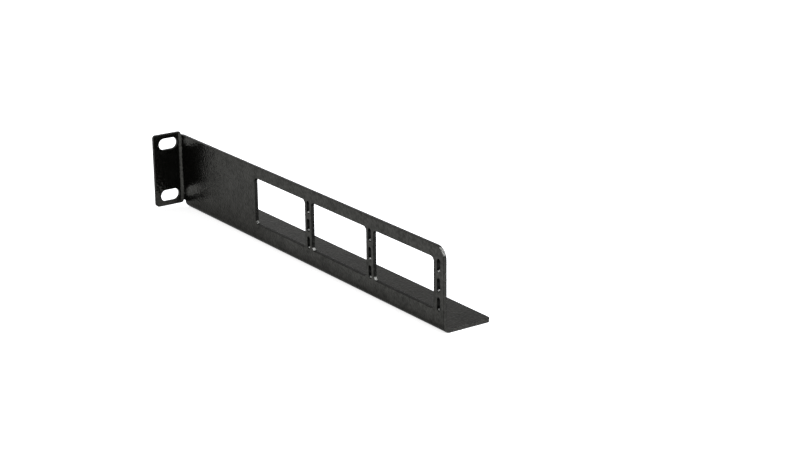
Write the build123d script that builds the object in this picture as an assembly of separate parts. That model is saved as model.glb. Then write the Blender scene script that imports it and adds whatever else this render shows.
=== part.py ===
from build123d import *
import math
import os

# A one rack unit mounting ear folded from a single sheet: a slotted ear, a long web with
# three windows, and a shelf along the web's lower edge.
# The origin is midway between the two rack slots, on the ear's rear face, which bears on
# the rack post. The web runs back along +Y, the ear reaches out along +X, +Z is up.
# Sizes are in millimetres.

# Sheet and folds
SHEET = 2.0
FOLD_INSIDE_RADIUS = 2.0
NEUTRAL_FACTOR = 0.45

# Rack slots, and the metal left around them in the ear
RACK_SLOT_SPACING = 31.75
RACK_SLOT_LENGTH = 12.4
RACK_SLOT_HEIGHT = 7.0
EAR_END_MARGIN = 2.6
EAR_RIM_MARGIN = 3.4
EAR_FOLD_MARGIN = 0.4
EAR_CORNER_RADIUS = 2.0

# Shoulder by which the ear stands above the web, and how far into the fold it starts
SHOULDER_RADIUS = 1.8
SHOULDER_START = 0.6

# Web, measured back from the ear's rear face
WEB_LENGTH = 264.0
WEB_CORNER_RADIUS = 6.5

# Shelf along the web's lower edge, held clear of the ear's fold by a small relief
SHELF_WIDTH = 30.0
SHELF_CORNER_RADIUS = 3.0
RELIEF_RADIUS = 0.4

# Windows in the web, between a plain stretch behind the ear and a post at the free end
WINDOW_COUNT = 3
WINDOW_CORNER_RADIUS = 2.3
PLAIN_STRETCH = 85.2
END_POST = 8.3
TOP_RAIL = 6.6

# Columns of upright slots for cable ties, as tall as the windows, one column in each post
TIE_SLOT_COUNT = 3
TIE_SLOT_WIDTH = 2.5
TIE_SLOT_RIM = 2.0
TIE_SLOT_BRIDGE = 3.0

# Folds
FOLD_OUTSIDE_RADIUS = FOLD_INSIDE_RADIUS + SHEET
NEUTRAL_RADIUS = FOLD_INSIDE_RADIUS + NEUTRAL_FACTOR * SHEET

# Ear and web
EAR_HEIGHT = RACK_SLOT_SPACING + RACK_SLOT_HEIGHT + 2 * EAR_END_MARGIN
EAR_OUTER_X = RACK_SLOT_LENGTH / 2 + EAR_RIM_MARGIN
EAR_TOP_Z = EAR_HEIGHT / 2
WEB_OUTER_X = -RACK_SLOT_LENGTH / 2 - EAR_FOLD_MARGIN - FOLD_INSIDE_RADIUS
WEB_INNER_X = WEB_OUTER_X - SHEET
WEB_TOP_Z = EAR_TOP_Z - SHOULDER_RADIUS

# The ear's fold ends as far below the middle as above it, and the shelf's fold starts
# below it by the relief.
WEB_FLAT_BOTTOM_Z = -WEB_TOP_Z - RELIEF_RADIUS
UNDERSIDE_Z = WEB_FLAT_BOTTOM_Z - FOLD_OUTSIDE_RADIUS
WEB_HEIGHT = WEB_TOP_Z - UNDERSIDE_Z
SHELF_START_Y = FOLD_INSIDE_RADIUS + RELIEF_RADIUS
SHELF_LENGTH = WEB_LENGTH - SHELF_START_Y

# Windows and tie slots, level with the middle of the ear
WINDOW_POST = TIE_SLOT_WIDTH + 2 * TIE_SLOT_RIM
WINDOW_ROW = WEB_LENGTH - PLAIN_STRETCH - END_POST
WINDOW_PITCH = (WINDOW_ROW + WINDOW_POST) / WINDOW_COUNT
WINDOW_WIDTH = WINDOW_PITCH - WINDOW_POST
WINDOW_HEIGHT = 2 * (WEB_TOP_Z - TOP_RAIL)
TIE_SLOT_PITCH = (WINDOW_HEIGHT + TIE_SLOT_BRIDGE) / TIE_SLOT_COUNT
TIE_SLOT_LENGTH = TIE_SLOT_PITCH - TIE_SLOT_BRIDGE


def folded_profile(along, across):
    """Section of an L of sheet with its outer corner at the origin, both legs positive."""
    outline = Polyline(
        (0, 0),
        (along, 0),
        (along, SHEET),
        (SHEET, SHEET),
        (SHEET, across),
        (0, across),
        close=True,
    )
    face = make_face(outline)
    inner_corner = face.vertices().sort_by_distance((SHEET, SHEET, 0))[0]
    face = fillet(inner_corner, FOLD_INSIDE_RADIUS)
    outer_corner = face.vertices().sort_by_distance((0, 0, 0))[0]
    return fillet(outer_corner, FOLD_OUTSIDE_RADIUS)


def shoulder_cutter():
    """Tool that rounds the ear down to the web's height within the first part of the fold."""
    half_angle = SHOULDER_RADIUS / NEUTRAL_RADIUS / 2
    middle_angle = SHOULDER_START / NEUTRAL_RADIUS + half_angle
    start = -NEUTRAL_RADIUS * math.sin(half_angle)
    step = Polyline(
        (start, EAR_TOP_Z + SHOULDER_RADIUS),
        (start, WEB_TOP_Z),
        (EAR_HEIGHT, WEB_TOP_Z),
        (EAR_HEIGHT, EAR_TOP_Z + SHOULDER_RADIUS),
        close=True,
    )
    face = make_face(step) - Pos(start, WEB_TOP_Z) * Circle(SHOULDER_RADIUS)
    fold_axis = (WEB_OUTER_X + FOLD_INSIDE_RADIUS, FOLD_INSIDE_RADIUS, 0)
    tangent = (-math.cos(middle_angle), math.sin(middle_angle), 0)
    inward = (math.sin(middle_angle), math.cos(middle_angle), 0)
    plane = Plane(origin=fold_axis, x_dir=tangent, z_dir=inward)
    return extrude(plane * face, amount=EAR_HEIGHT, both=True)


def ear_strip():
    """Ear, the fold behind it and the web's first stretch, with rounded shoulders and corners."""
    profile = folded_profile(EAR_OUTER_X - WEB_INNER_X, SHEET + SHELF_START_Y + FOLD_OUTSIDE_RADIUS)
    strip = extrude(Pos(WEB_INNER_X, -SHEET, -EAR_TOP_Z) * profile, amount=EAR_HEIGHT)
    free_corners = strip.edges().filter_by(Axis.Y).group_by(Axis.X)[-1]
    strip = fillet(free_corners, EAR_CORNER_RADIUS)
    cutter = shoulder_cutter()
    return strip - cutter - mirror(cutter, about=Plane.XY)


def shelf_strip():
    """Web and shelf with the fold between them, trimmed to their rounded outlines."""
    profile = Plane(origin=(WEB_OUTER_X, SHELF_START_Y, UNDERSIDE_Z), x_dir=(-1, 0, 0), z_dir=(0, 1, 0))
    strip = extrude(profile * folded_profile(SHELF_WIDTH, WEB_HEIGHT), amount=SHELF_LENGTH)
    free_top = strip.edges().filter_by(Axis.X).group_by(Axis.Y)[-1].sort_by(Axis.Z)[-1]
    strip = fillet(free_top, WEB_CORNER_RADIUS)
    free_corners = strip.edges().filter_by(Axis.Z).group_by(Axis.X)[0]
    return fillet(free_corners, SHELF_CORNER_RADIUS)


def web_plane(y, z):
    """Plane in the middle of the web's sheet, seen from outside, with its own y upward."""
    return Plane(origin=(WEB_OUTER_X - SHEET / 2, y, z), x_dir=(0, 1, 0), z_dir=(1, 0, 0))


def relief_corner():
    """Metal that rounds the inside corner between the ear's fold and the start of the shelf."""
    corner = Pos(RELIEF_RADIUS / 2, RELIEF_RADIUS / 2) * Rectangle(RELIEF_RADIUS, RELIEF_RADIUS)
    face = corner - Circle(RELIEF_RADIUS)
    return extrude(web_plane(FOLD_INSIDE_RADIUS, WEB_FLAT_BOTTOM_Z) * face, amount=SHEET / 2, both=True)


def rack_slots():
    """Tools for the two level slots that take the rack screws."""
    slot = SlotOverall(RACK_SLOT_LENGTH, RACK_SLOT_HEIGHT)
    pair = Sketch() + GridLocations(1, RACK_SLOT_SPACING, 1, 2) * slot
    ear_plane = Plane(origin=(0, -SHEET / 2, 0), x_dir=(1, 0, 0), z_dir=(0, -1, 0))
    return extrude(ear_plane * pair, amount=SHEET, both=True)


def windows():
    """Tools for the row of windows."""
    window = RectangleRounded(WINDOW_WIDTH, WINDOW_HEIGHT, WINDOW_CORNER_RADIUS)
    row = Sketch() + GridLocations(WINDOW_PITCH, 1, WINDOW_COUNT, 1) * window
    return extrude(web_plane(PLAIN_STRETCH + WINDOW_ROW / 2, 0) * row, amount=SHEET, both=True)


def tie_slots():
    """Tools for the columns of tie slots, one in each post between windows and one in the end post."""
    slot = Rot(0, 0, 90) * SlotOverall(TIE_SLOT_LENGTH, TIE_SLOT_WIDTH)
    column = Sketch() + GridLocations(1, TIE_SLOT_PITCH, 1, TIE_SLOT_COUNT) * slot
    between = [PLAIN_STRETCH + n * WINDOW_PITCH - WINDOW_POST / 2 for n in range(1, WINDOW_COUNT)]
    posts = between + [WEB_LENGTH - END_POST / 2]
    return [extrude(web_plane(y, 0) * column, amount=SHEET, both=True) for y in posts]


def ear_bracket():
    """The whole folded bracket as one solid."""
    bracket = ear_strip() + shelf_strip() + relief_corner()
    bracket = bracket - rack_slots() - windows()
    for column in tie_slots():
        bracket = bracket - column
    return bracket


os.makedirs("parts", exist_ok=True)
export_step(ear_bracket(), "parts/ear_bracket.step")
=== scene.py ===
import logging
import math
from dataclasses import dataclass, field
from enum import Enum, IntEnum

import bpy
from mathutils import Matrix, Vector


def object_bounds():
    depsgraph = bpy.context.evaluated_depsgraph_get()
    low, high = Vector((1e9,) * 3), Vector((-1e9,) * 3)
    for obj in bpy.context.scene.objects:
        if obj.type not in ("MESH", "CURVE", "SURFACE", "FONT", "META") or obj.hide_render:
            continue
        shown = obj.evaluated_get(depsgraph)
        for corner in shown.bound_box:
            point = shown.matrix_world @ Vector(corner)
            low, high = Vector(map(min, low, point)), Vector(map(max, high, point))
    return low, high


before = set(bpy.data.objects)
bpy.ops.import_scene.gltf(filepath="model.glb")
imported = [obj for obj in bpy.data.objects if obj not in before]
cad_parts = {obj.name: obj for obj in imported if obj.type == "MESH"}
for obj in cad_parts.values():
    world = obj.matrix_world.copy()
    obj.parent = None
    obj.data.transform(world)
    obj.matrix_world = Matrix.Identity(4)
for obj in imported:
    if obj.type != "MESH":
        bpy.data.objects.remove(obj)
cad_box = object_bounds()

# A mounting ear folded from one sheet of steel and coated in satin black powder, standing on
# a pale floor with its free end towards the camera. Lengths are in metres.

log = logging.getLogger("ear_bracket")

Socket = bpy.types.NodeSocket
Number = bpy.types.NodeSocket | float
Span = tuple[float, float]
Triple = tuple[float, float, float]

MILLIMETRE = 0.001
WHOLE: Span = (0.0, 1.0)
WHITE: Triple = (1.0, 1.0, 1.0)
OPAQUE = 1.0
MATRIX_SIZE = 4


class LampPlace(Enum):
    """Where the soft boxes hang, as directions from the bracket, one above the other along an arc."""

    OVER_SHELF = (-0.529, 0.150, 0.835)
    PAST_FREE_END = (-0.529, 0.690, 0.495)


class RayKind(Enum):
    """The kinds of ray that see the surround and the floor as plain white."""

    TO_THE_EYE = "Is Camera Ray"
    OFF_GLOSS = "Is Glossy Ray"
    THROUGH_GLASS = "Is Transmission Ray"


class ColourMix(IntEnum):
    """Places of the mix node's sockets for colours, which share their names with its other sockets."""

    SHARE = 0
    FIRST = 6
    SECOND = 7
    RESULT = 2


@dataclass
class Wiring:
    """A node tree with short ways to add and join its nodes."""

    tree: bpy.types.NodeTree

    def __post_init__(self) -> None:
        """Empties the tree."""
        self.tree.nodes.clear()

    def add(self, kind: str, **settings: object) -> bpy.types.Node:
        """Adds one node.

        Args:
            kind: The node's type, as Blender names it.
            settings: Properties of the node to set.

        Returns:
            The new node.
        """
        node = self.tree.nodes.new(kind)
        for name, value in settings.items():
            setattr(node, name, value)
        return node

    def join(self, source: Socket, target: Socket) -> None:
        """Links an output to an input."""
        self.tree.links.new(source, target)

    def math(self, operation: str, *values: Number) -> Socket:
        """Works out one number from others.

        Args:
            operation: The sum to do, as Blender names it.
            values: Sockets or plain numbers, in order.

        Returns:
            The output that holds the result.
        """
        node = self.add("ShaderNodeMath", operation=operation)
        for place, value in zip(node.inputs, values):
            if isinstance(value, Socket):
                self.join(value, place)
            else:
                place.default_value = value
        return node.outputs["Value"]

    def product(self, first: Socket, *others: Socket) -> Socket:
        """Multiplies numbers.

        Args:
            first: One of the numbers.
            others: The rest of them.

        Returns:
            The output that holds their product.
        """
        total = first
        for other in others:
            total = self.math("MULTIPLY", total, other)
        return total

    def complement(self, value: Socket) -> Socket:
        """Takes a number away from 1."""
        return self.math("SUBTRACT", 1.0, value)

    def average(self, first: Socket, second: Socket, first_weight: float) -> Socket:
        """Averages two numbers by weight.

        Args:
            first: One number.
            second: The other.
            first_weight: The first one's part of the whole.

        Returns:
            The output that holds the average.
        """
        rest = self.math("MULTIPLY", second, 1.0 - first_weight)
        return self.math("MULTIPLY_ADD", first, first_weight, rest)

    def ramp(self, value: Socket, source: Span = WHOLE, target: Span = WHOLE) -> Socket:
        """Stretches a number from one span over another, and holds it at the ends.

        Args:
            value: The number to stretch.
            source: The span that it comes from.
            target: The span that it goes to.

        Returns:
            The output that holds the result.
        """
        node = self.add("ShaderNodeMapRange")
        self.join(value, node.inputs["Value"])
        node.inputs["From Min"].default_value, node.inputs["From Max"].default_value = source
        node.inputs["To Min"].default_value, node.inputs["To Max"].default_value = target
        return node.outputs["Result"]

    def blend(self, share: Socket, first: Triple, second: Triple) -> Socket:
        """Mixes two colours.

        Args:
            share: How much there is of the second.
            first: The colour at 0.
            second: The colour at 1.

        Returns:
            The output that holds the mix.
        """
        node = self.add("ShaderNodeMix", data_type="RGBA")
        self.join(share, node.inputs[ColourMix.SHARE])
        node.inputs[ColourMix.FIRST].default_value = (*first, OPAQUE)
        node.inputs[ColourMix.SECOND].default_value = (*second, OPAQUE)
        return node.outputs[ColourMix.RESULT]

    def axes(self, vector: Socket) -> bpy.types.NodeOutputs:
        """Splits a vector.

        Args:
            vector: The vector.

        Returns:
            The outputs X, Y and Z.
        """
        node = self.add("ShaderNodeSeparateXYZ")
        self.join(vector, node.inputs["Vector"])
        return node.outputs

    def seen_white(self) -> Socket:
        """Tells the rays that see plain white from those that only light the object.

        Returns:
            An output that is 1 for the kinds of ray in RayKind, and 0 for the rest.
        """
        path = self.add("ShaderNodeLightPath")
        total: Number = 0.0
        for kind in RayKind:
            total = self.math("MAXIMUM", path.outputs[kind.value], total)
        return total


@dataclass(frozen=True)
class SheetSpot:
    """A point of the sheet: where it lies and which way it faces, each as outputs X, Y and Z."""

    place: bpy.types.NodeOutputs
    facing: bpy.types.NodeOutputs


@dataclass(frozen=True)
class PowderCoat:
    """Satin black powder coat, finely mottled, with the same sheen seen squarely or at a low angle.

    The sheen is all that shows of so dark a coat, so it is the shader's metal side that gives it.
    It is weaker on the sheet's edges. On faces that look down, along the web's foot, on the web's
    cut end and in the openings, whose narrow slots are nearly black, it is cut by painted shade.
    Each such place has a share of the sheen that it keeps.
    """

    name: str = "satin_black_powder"

    # Sheen: its darkest and lightest colour, and how much of it is left at a low angle
    low_sheen: Triple = (0.0194, 0.0194, 0.0178)
    high_sheen: Triple = (0.0464, 0.0460, 0.0425)
    grazing_share: float = 0.555
    smooth_roughness: float = 0.18
    coarse_roughness: float = 0.25
    edge_roughness: float = 0.60

    # Clouds and mottle of the colour
    cloud_size: float = 9.0 * MILLIMETRE
    cloud_detail: float = 3.0
    cloud_weight: float = 0.35
    mottle_size: float = 1.6 * MILLIMETRE
    mottle_detail: float = 1.0
    mottle_span: Span = (0.3, 0.7)

    # Relief: rounded pebbles with a fine grain on them
    pebble_size: float = 1.3 * MILLIMETRE
    pebble_softness: float = 0.5
    pebble_height: float = 0.110 * MILLIMETRE
    grain_size: float = 0.35 * MILLIMETRE
    grain_detail: float = 2.0
    grain_weight: float = 0.5
    grain_height: float = 0.004 * MILLIMETRE

    # The sheet's edges
    edge_reach: float = 0.45 * MILLIMETRE
    edge_samples: int = 6
    edge_rise: float = 0.08
    edge_share: float = 0.32

    # Painted shade on the cut faces in the web's openings, darkest in the narrow slots, while slanting
    # faces keep their sheen
    openings_middle: float = 141.3 * MILLIMETRE
    openings_half_length: float = 121.3 * MILLIMETRE
    openings_half_height: float = 19.0 * MILLIMETRE
    cut_tolerance: float = 0.5
    slant: float = 0.6
    slant_span: Span = (0.25, 0.40)
    painted_occlusion_reach: float = 3.0 * MILLIMETRE
    painted_occlusion_samples: int = 8
    painted_occlusion_span: Span = (0.60, 0.90)
    slot_painted_shade_share: float = 0.0
    jamb_painted_shade_share: float = 0.52

    # Painted shade on faces that look down
    downward_span: Span = (-0.6, 0.0)
    downward_painted_shade_share: float = 0.80

    # Painted shade on the web's foot, on its outside
    foot_span: Span = (-21.0 * MILLIMETRE, -13.5 * MILLIMETRE)
    foot_painted_shade_share: float = 0.78
    outward_span: Span = (0.0, 0.5)

    # Painted shade on the web's cut end, up to where the shelf's begins
    end_start: float = 261.5 * MILLIMETRE
    end_painted_shade_share: float = 0.88
    endward_span: Span = (0.7, 1.0)
    fold_span: Span = (-14.6 * MILLIMETRE, -10.6 * MILLIMETRE)

    def material(self) -> bpy.types.Material:
        """Makes the finish.

        Returns:
            The material, ready to be put on a piece.
        """
        material = bpy.data.materials.new(self.name)
        material.use_nodes = True
        wiring = Wiring(material.node_tree)
        output = wiring.add("ShaderNodeOutputMaterial")
        shader = wiring.add("ShaderNodeBsdfPrincipled")
        tint = self.grazing_share
        shader.inputs["Specular IOR Level"].default_value = 0.0
        shader.inputs["Specular Tint"].default_value = (tint, tint, tint, OPAQUE)
        place = wiring.add("ShaderNodeTexCoord").outputs["Object"]
        clouds = self.noise(wiring, place, self.cloud_size, self.cloud_detail)
        mottle = self.noise(wiring, place, self.mottle_size, self.mottle_detail)
        grain = self.noise(wiring, place, self.grain_size, self.grain_detail)
        pebbles = self.pebbles(wiring, place)
        edges = self.edges(wiring)
        # The painted shade and the weaker edges dim both the metal side and its colour.
        left = self.sheen_left_with_painted_shade(wiring, place, edges)
        wiring.join(left, shader.inputs["Metallic"])
        wiring.join(self.colour(wiring, clouds, mottle, left), shader.inputs["Base Color"])
        wiring.join(self.roughness(wiring, clouds, grain, edges), shader.inputs["Roughness"])
        wiring.join(self.relief(wiring, pebbles, grain), shader.inputs["Normal"])
        wiring.join(shader.outputs["BSDF"], output.inputs["Surface"])
        return material

    def noise(self, wiring: Wiring, place: Socket, size: float, detail: float) -> Socket:
        """Adds a soft noise.

        Args:
            wiring: The material's nodes.
            place: Where on the piece, in metres.
            size: How far apart the noise's lumps are.
            detail: How many finer octaves it has.

        Returns:
            The output that holds the noise, about 0 to 1.
        """
        node = wiring.add("ShaderNodeTexNoise")
        node.inputs["Scale"].default_value = 1.0 / size
        node.inputs["Detail"].default_value = detail
        wiring.join(place, node.inputs["Vector"])
        return node.outputs["Fac"]

    def pebbles(self, wiring: Wiring, place: Socket) -> Socket:
        """Adds the rounded bumps that the powder leaves as it flows.

        Args:
            wiring: The material's nodes.
            place: Where on the piece, in metres.

        Returns:
            The output that holds their height, about 0 to 1.
        """
        node = wiring.add("ShaderNodeTexVoronoi", feature="SMOOTH_F1")
        node.inputs["Scale"].default_value = 1.0 / self.pebble_size
        node.inputs["Smoothness"].default_value = self.pebble_softness
        wiring.join(place, node.inputs["Vector"])
        return wiring.complement(node.outputs["Distance"])

    def colour(self, wiring: Wiring, clouds: Socket, mottle: Socket, left: Socket) -> Socket:
        """Mottles the sheen and dims it by the painted shade and the weaker edges.

        Args:
            wiring: The material's nodes.
            clouds: A broad noise.
            mottle: A fine noise.
            left: How much sheen is left after the painted shade and the weaker edges.

        Returns:
            The output that holds the colour.
        """
        spots = wiring.ramp(wiring.average(clouds, mottle, self.cloud_weight), self.mottle_span)
        dulled = wiring.add("ShaderNodeVectorMath", operation="SCALE")
        wiring.join(wiring.blend(spots, self.low_sheen, self.high_sheen), dulled.inputs["Vector"])
        wiring.join(left, dulled.inputs["Scale"])
        return dulled.outputs["Vector"]

    def roughness(self, wiring: Wiring, clouds: Socket, grain: Socket, edges: Socket) -> Socket:
        """Varies the roughness a little over the flats and raises it on the edges.

        Args:
            wiring: The material's nodes.
            clouds: A broad noise.
            grain: The height of the fine grain.
            edges: 1 on the sheet's edges, 0 on the flat.

        Returns:
            The output that holds the roughness.
        """
        mixed = wiring.average(grain, clouds, self.grain_weight)
        flat = wiring.ramp(mixed, target=(self.smooth_roughness, self.coarse_roughness))
        rise = wiring.math("SUBTRACT", self.edge_roughness, flat)
        return wiring.math("MULTIPLY_ADD", edges, rise, flat)

    def sheen_left_with_painted_shade(self, wiring: Wiring, place: Socket, edges: Socket) -> Socket:
        """Finds how much sheen is left everywhere on the sheet, after the painted shade and the weaker
        edges.

        Args:
            wiring: The material's nodes.
            place: Where on the piece, in metres.
            edges: 1 on the sheet's edges, 0 on the flat.

        Returns:
            An output that is 1 on the open flats.
        """
        normal = wiring.add("ShaderNodeNewGeometry").outputs["Normal"]
        spot = SheetSpot(place=wiring.axes(place), facing=wiring.axes(normal))
        return wiring.product(
            self.painted_shade_in_openings(wiring, spot),
            # Painted shade on faces that look down.
            wiring.ramp(spot.facing["Z"], self.downward_span, (self.downward_painted_shade_share, 1.0)),
            self.painted_shade_at_foot(wiring, spot),
            self.painted_shade_on_cut_end(wiring, spot),
            wiring.ramp(edges, target=(1.0, self.edge_share)),
        )

    def painted_shade_in_openings(self, wiring: Wiring, spot: SheetSpot) -> Socket:
        """Paints shade on the cut faces in the web's windows and slots by taking sheen away, darkest in
        the narrow slots.

        Args:
            wiring: The material's nodes.
            spot: The point of the sheet.

        Returns:
            An output that is 1 outside the openings and on faces that slant up.
        """
        along = wiring.math("COMPARE", spot.place["Y"], self.openings_middle, self.openings_half_length)
        level = wiring.math("COMPARE", spot.place["Z"], 0.0, self.openings_half_height)
        cut = wiring.math("COMPARE", spot.facing["X"], 0.0, self.cut_tolerance)
        off_slant = wiring.math("ABSOLUTE", wiring.math("SUBTRACT", spot.facing["Z"], self.slant))
        square = wiring.ramp(off_slant, self.slant_span)
        # Painted shade from ambient occlusion: the narrow slots come out nearly black.
        painted_occlusion = wiring.add("ShaderNodeAmbientOcclusion", samples=self.painted_occlusion_samples, only_local=True)
        painted_occlusion.inputs["Distance"].default_value = self.painted_occlusion_reach
        share = wiring.ramp(painted_occlusion.outputs["AO"], self.painted_occlusion_span, (self.slot_painted_shade_share, self.jamb_painted_shade_share))
        return wiring.complement(wiring.product(along, level, cut, square, wiring.complement(share)))

    def painted_shade_at_foot(self, wiring: Wiring, spot: SheetSpot) -> Socket:
        """Paints shade low on the web's outside by taking sheen away.

        Args:
            wiring: The material's nodes.
            spot: The point of the sheet.

        Returns:
            An output that is 1 above the foot and on faces that don't look outward.
        """
        share = wiring.ramp(spot.place["Z"], self.foot_span, (self.foot_painted_shade_share, 1.0))
        outward = wiring.ramp(spot.facing["X"], self.outward_span)
        return wiring.complement(wiring.product(wiring.complement(share), outward))

    def painted_shade_on_cut_end(self, wiring: Wiring, spot: SheetSpot) -> Socket:
        """Paints shade on the web's cut end by taking sheen away.

        Args:
            wiring: The material's nodes.
            spot: The point of the sheet.

        Returns:
            An output that is 1 off the web's cut end.
        """
        past = wiring.math("GREATER_THAN", spot.place["Y"], self.end_start)
        endward = wiring.ramp(spot.facing["Y"], self.endward_span)
        on_web = wiring.ramp(spot.place["X"], self.fold_span)
        return wiring.ramp(wiring.product(past, endward, on_web), target=(1.0, self.end_painted_shade_share))

    def edges(self, wiring: Wiring) -> Socket:
        """Finds the sheet's edges, where a rounded normal leaves the true one.

        Args:
            wiring: The material's nodes.

        Returns:
            An output that is 0 on the flat and rises to 1 on an edge.
        """
        rounded = wiring.add("ShaderNodeBevel", samples=self.edge_samples)
        rounded.inputs["Radius"].default_value = self.edge_reach
        true_normal = wiring.add("ShaderNodeNewGeometry").outputs["Normal"]
        agreement = wiring.add("ShaderNodeVectorMath", operation="DOT_PRODUCT")
        for place, normal in zip(agreement.inputs, (rounded.outputs["Normal"], true_normal)):
            wiring.join(normal, place)
        return wiring.ramp(wiring.complement(agreement.outputs["Value"]), (0.0, self.edge_rise))

    def relief(self, wiring: Wiring, pebbles: Socket, grain: Socket) -> Socket:
        """Raises the pebbles and the grain.

        Args:
            wiring: The material's nodes.
            pebbles: The height of the rounded bumps.
            grain: The height of the fine grain.

        Returns:
            The output that holds the bumped normal.
        """
        coarse = wiring.add("ShaderNodeBump")
        coarse.inputs["Distance"].default_value = self.pebble_height
        wiring.join(pebbles, coarse.inputs["Height"])
        fine = wiring.add("ShaderNodeBump")
        fine.inputs["Distance"].default_value = self.grain_height
        wiring.join(grain, fine.inputs["Height"])
        wiring.join(coarse.outputs["Normal"], fine.inputs["Normal"])
        return fine.outputs["Normal"]


@dataclass
class EarBracket:
    """The folded sheet: its broken edges and its coat."""

    node: str = "ear_bracket"
    slot: str = "black_powder_coat"
    finish: PowderCoat = field(default_factory=PowderCoat)
    weld_distance: float = 0.001 * MILLIMETRE
    flat_angle: float = math.radians(0.5)
    edge_break: float = 0.12 * MILLIMETRE
    edge_steps: int = 3
    edge_angle: float = math.radians(40.0)
    flat_weight: int = 100

    def build(self, nodes: dict[str, bpy.types.Object]) -> bpy.types.Object:
        """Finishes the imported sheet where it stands.

        Args:
            nodes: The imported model's objects by name.

        Returns:
            The bracket's object.
        """
        bracket = nodes[self.node]
        self.break_edges(bracket)
        self.smooth_folds(bracket)
        self.dress(bracket)
        return bracket

    def break_edges(self, bracket: bpy.types.Object) -> None:
        """Rounds the cut edges as the deburring and the coat do.

        Args:
            bracket: The bracket's object.
        """
        weld = bracket.modifiers.new("weld", "WELD")
        weld.merge_threshold = self.weld_distance
        flats = bracket.modifiers.new("whole_flats", "DECIMATE")
        flats.decimate_type = "DISSOLVE"
        flats.angle_limit = self.flat_angle
        bevel = bracket.modifiers.new("edge_break", "BEVEL")
        bevel.width = self.edge_break
        bevel.segments = self.edge_steps
        bevel.limit_method = "ANGLE"
        bevel.angle_limit = self.edge_angle
        bevel.use_clamp_overlap = False
        bevel.loop_slide = False

    def smooth_folds(self, bracket: bpy.types.Object) -> None:
        """Shades the folds and rounded edges smoothly, and the flats flat.

        Args:
            bracket: The bracket's object.
        """
        tree = bpy.data.node_groups.new("smooth_folds", "GeometryNodeTree")
        for way in ("INPUT", "OUTPUT"):
            tree.interface.new_socket("Geometry", in_out=way, socket_type="NodeSocketGeometry")
        wiring = Wiring(tree)
        entry = wiring.add("NodeGroupInput")
        smooth = wiring.add("GeometryNodeSetShadeSmooth")
        leave = wiring.add("NodeGroupOutput")
        wiring.join(entry.outputs["Geometry"], smooth.inputs["Geometry"])
        wiring.join(smooth.outputs["Geometry"], leave.inputs["Geometry"])
        bracket.modifiers.new("shade_smooth", "NODES").node_group = tree
        weighted = bracket.modifiers.new("flat_faces", "WEIGHTED_NORMAL")
        weighted.mode = "FACE_AREA"
        weighted.weight = self.flat_weight

    def dress(self, bracket: bpy.types.Object) -> None:
        """Coats the bracket.

        Args:
            bracket: The bracket's object.
        """
        bracket.data.materials.clear()
        bracket.data.materials.append(self.finish.material())


@dataclass
class PaleFloor:
    """The plain pale floor under the bracket, which keeps its shadow."""

    half_width: float = 3.0
    colour: Triple = (0.85, 0.85, 0.85)
    whiteness: float = 0.80

    def build(self, level: float) -> bpy.types.Object:
        """Lays the floor.

        Args:
            level: The height of the bracket's underside.

        Returns:
            The floor's object.
        """
        reach = self.half_width
        outline = ((-reach, -reach), (reach, -reach), (reach, reach), (-reach, reach))
        corners = [(x, y, level) for x, y in outline]
        mesh = bpy.data.meshes.new("pale_floor")
        mesh.from_pydata(corners, [], [range(len(corners))])
        mesh.materials.append(self.material())
        floor = bpy.data.objects.new("pale_floor", mesh)
        bpy.context.scene.collection.objects.link(floor)
        return floor

    def material(self) -> bpy.types.Material:
        """Makes the pale surface, lifted to white for the eye and for gloss.

        Returns:
            The material.
        """
        material = bpy.data.materials.new("pale_floor")
        material.use_nodes = True
        wiring = Wiring(material.node_tree)
        output = wiring.add("ShaderNodeOutputMaterial")
        matt = wiring.add("ShaderNodeBsdfDiffuse")
        matt.inputs["Color"].default_value = (*self.colour, OPAQUE)
        glow = wiring.add("ShaderNodeEmission")
        wiring.join(wiring.math("MULTIPLY", wiring.seen_white(), self.whiteness), glow.inputs["Strength"])
        both = wiring.add("ShaderNodeAddShader")
        for place, part in zip(both.inputs, (matt.outputs["BSDF"], glow.outputs["Emission"])):
            wiring.join(part, place)
        wiring.join(both.outputs["Shader"], output.inputs["Surface"])
        return material


@dataclass
class StudioDome:
    """The surround: a soft dome that lights the bracket, plain white to the eye and to gloss."""

    crown: float = 0.55
    horizon: float = 0.25

    def build(self) -> bpy.types.World:
        """Hangs the dome round the scene.

        Returns:
            The world.
        """
        world = bpy.data.worlds.new("studio_dome")
        world.use_nodes = True
        wiring = Wiring(world.node_tree)
        output = wiring.add("ShaderNodeOutputWorld")
        direction = wiring.axes(wiring.add("ShaderNodeTexCoord").outputs["Generated"])
        height = wiring.math("MAXIMUM", direction["Z"], 0.0)
        light = wiring.add("ShaderNodeBackground")
        wiring.join(wiring.ramp(height, target=(self.horizon, self.crown)), light.inputs["Strength"])
        white = wiring.add("ShaderNodeBackground")
        for background in (light, white):
            background.inputs["Color"].default_value = (*WHITE, OPAQUE)
        choice = wiring.add("ShaderNodeMixShader")
        sources = (wiring.seen_white(), light.outputs["Background"], white.outputs["Background"])
        for place, source in zip(choice.inputs, sources):
            wiring.join(source, place)
        wiring.join(choice.outputs["Shader"], output.inputs["Surface"])
        bpy.context.scene.world = world
        return world


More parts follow.
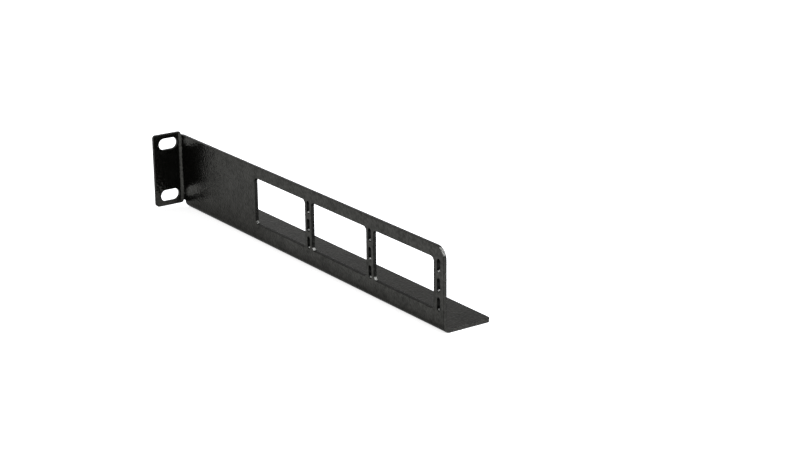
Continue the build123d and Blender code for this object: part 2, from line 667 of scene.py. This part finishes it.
@dataclass
class SoftBox:
    """A long studio lamp that faces the bracket, on an arc that rises over its free end."""

    place: LampPlace
    length: float
    width: float = 0.16
    radiance: float = 19.0
    distance: float = 1.05
    colour: Triple = (0.97, 0.99, 1.05)

    def build(self, aim: Vector) -> bpy.types.Object:
        """Hangs the lamp.

        Args:
            aim: The point that it faces.

        Returns:
            The lamp's object.
        """
        name = self.place.name.lower()
        lamp = bpy.data.lights.new(name, "AREA")
        lamp.color = self.colour
        lamp.shape = "RECTANGLE"
        lamp.size = self.length
        lamp.size_y = self.width
        lamp.energy = self.radiance * math.pi * self.length * self.width
        holder = bpy.data.objects.new(name, lamp)
        bpy.context.scene.collection.objects.link(holder)
        outward = Vector((1.0, 0.0, 0.0))
        away = Vector(self.place.value).normalized()
        along = outward.cross(away).normalized()
        holder.matrix_world = Matrix((along, away.cross(along), away)).transposed().to_4x4()
        holder.location = aim + away * self.distance
        holder.visible_camera = False
        return holder


@dataclass
class Viewpoint:
    """The camera: where it stands, which way it looks, and its lens."""

    place: Triple = (0.49538, 0.94738, 0.30720)
    azimuth: float = math.radians(145.009)
    elevation: float = math.radians(17.942)
    roll: float = math.radians(-0.476)
    focal_length: float = 83.135
    sensor_width: float = 36.0

    def build(self) -> bpy.types.Object:
        """Sets the camera up and makes it the scene's own.

        Returns:
            The camera's object.
        """
        lens = bpy.data.cameras.new("viewpoint")
        lens.sensor_fit = "HORIZONTAL"
        lens.sensor_width = self.sensor_width
        lens.lens = self.focal_length
        camera = bpy.data.objects.new("viewpoint", lens)
        bpy.context.scene.collection.objects.link(camera)
        turn = Matrix.Rotation(self.azimuth, MATRIX_SIZE, "Z")
        tip = Matrix.Rotation(math.pi / 2 - self.elevation, MATRIX_SIZE, "X")
        lean = Matrix.Rotation(self.roll, MATRIX_SIZE, "Z")
        camera.matrix_world = Matrix.Translation(self.place) @ turn @ tip @ lean
        bpy.context.scene.camera = camera
        return camera


def main() -> None:
    """Dresses the bracket and sets up the scene round it."""
    logging.basicConfig(level=logging.INFO, format="%(name)s: %(message)s")
    bpy.context.scene.view_settings.view_transform = "Standard"
    low, high = cad_box
    middle = (low + high) / 2
    camera = Viewpoint().build()
    log.info("camera %s at %s", camera.name, tuple(round(x, 4) for x in camera.location))
    bracket = EarBracket().build(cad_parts)
    log.info("piece %s in finish %s", bracket.name, bracket.data.materials[0].name)
    floor = PaleFloor().build(low.z)
    log.info("stage %s at %.4f", floor.name, low.z)
    world = StudioDome().build()
    log.info("world %s", world.name)
    for box in (SoftBox(LampPlace.OVER_SHELF, length=0.64), SoftBox(LampPlace.PAST_FREE_END, length=0.62)):
        lamp = box.build(middle)
        log.info("lamp %s at %s", lamp.name, tuple(round(x, 3) for x in lamp.location))


if __name__ == "__main__":
    main()
